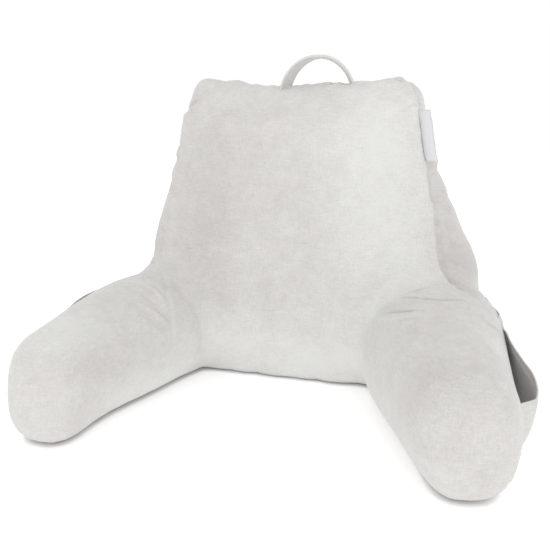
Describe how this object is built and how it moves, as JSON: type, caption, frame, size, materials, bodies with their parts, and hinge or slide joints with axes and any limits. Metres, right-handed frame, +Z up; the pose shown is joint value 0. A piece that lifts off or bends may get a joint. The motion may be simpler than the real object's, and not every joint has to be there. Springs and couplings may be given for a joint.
{
  "type": "reading pillow with arms",
  "caption": "Wedge-backed reading pillow in pale plush with two stuffed arms, open side pockets, a carrying strap and a blank side tag.",
  "frame": {"origin": "on the flat underside of the back cushion, midway between its side seams, 95 mm behind the front edge of its base", "axes": "+Z up; -Y the way the sitter faces and the arms reach; +X towards the arm on the right as seen from in front"},
  "size_m": [0.7021, 0.548, 0.507],
  "materials": {
    "velour": "pale warm grey plush velour with a brushed, mottled nap",
    "strap_velour": "the cover's velour, doubled and topstitched",
    "tag_ribbon": "blank white woven ribbon, folded"
  },
  "bodies": {
    "root": {"back_cushion": "velour", "arm_left": "velour", "arm_right": "velour", "pocket_left": "velour", "pocket_right": "velour", "carry_handle": "strap_velour", "side_label": "tag_ribbon"}
  },
  "joints": []
}
